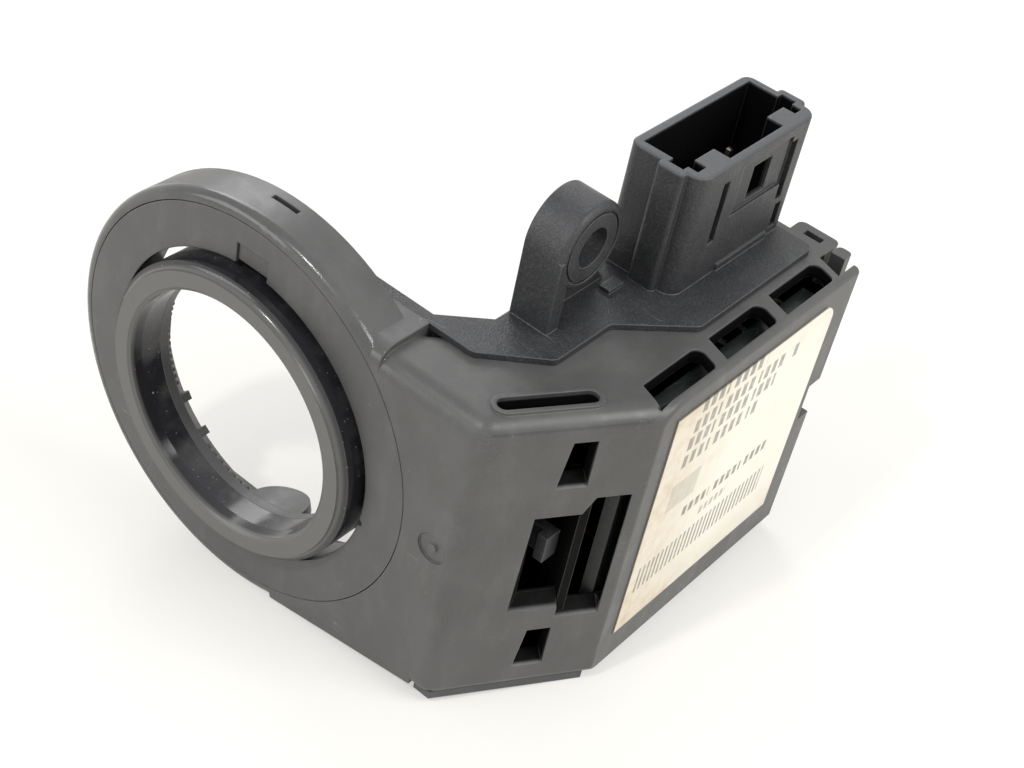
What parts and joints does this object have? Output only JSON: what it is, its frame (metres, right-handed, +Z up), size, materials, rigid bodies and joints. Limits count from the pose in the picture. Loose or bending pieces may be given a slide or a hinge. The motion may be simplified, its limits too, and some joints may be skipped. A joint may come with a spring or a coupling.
{
  "type": "immobiliser ring antenna and control unit",
  "caption": "Moulded control unit with a ring antenna that sits round a lock barrel, an electronics box with a keyed connector, a fixing lug and a plain label.",
  "frame": {"origin": "centre of the lock bore on the housing's front plane", "axes": "+Y along the lock bore towards the back, +X along the front face towards the label side, +Z up towards the connector"},
  "size_m": [0.0702, 0.0614, 0.0628],
  "materials": {
    "housing_plastic": "moulded, satin, dark grey",
    "cover_plastic": "moulded, coarse speckled grain, near black",
    "sleeve_plastic": "polished, black",
    "bobbin_plastic": "moulded, plain",
    "copper_wire": "enamelled winding wire",
    "board_laminate": "glass and resin laminate with a matt coat",
    "chip_package": "moulded resin",
    "chip_ceramic": "fired, matt",
    "can_metal": "drawn, satin",
    "choke_ferrite": "fired, matt",
    "terminal_metal": "tin plated",
    "label_film": "printed film, matt, cream white"
  },
  "bodies": {
    "root": {"main_housing": "housing_plastic", "ring_cover": "housing_plastic", "rear_cover": "cover_plastic", "bezel_sleeve": "sleeve_plastic", "coil_bobbin": "bobbin_plastic", "antenna_coil": "copper_wire", "coil_lead_upper": "copper_wire", "coil_lead_lower": "copper_wire", "circuit_board": "board_laminate", "microcontroller": "chip_package", "transceiver_chip": "chip_package", "voltage_regulator": "chip_package", "protection_diode": "chip_package", "ceramic_capacitors": "chip_ceramic", "chip_resistors": "chip_ceramic", "crystal_resonator": "can_metal", "electrolytic_capacitor_1": "can_metal", "electrolytic_capacitor_2": "can_metal", "power_inductor": "choke_ferrite", "label": "label_film", "terminal_1": "terminal_metal", "terminal_2": "terminal_metal", "terminal_3": "terminal_metal", "terminal_4": "terminal_metal", "terminal_5": "terminal_metal", "terminal_6": "terminal_metal", "terminal_7": "terminal_metal", "terminal_8": "terminal_metal"}
  },
  "joints": []
}
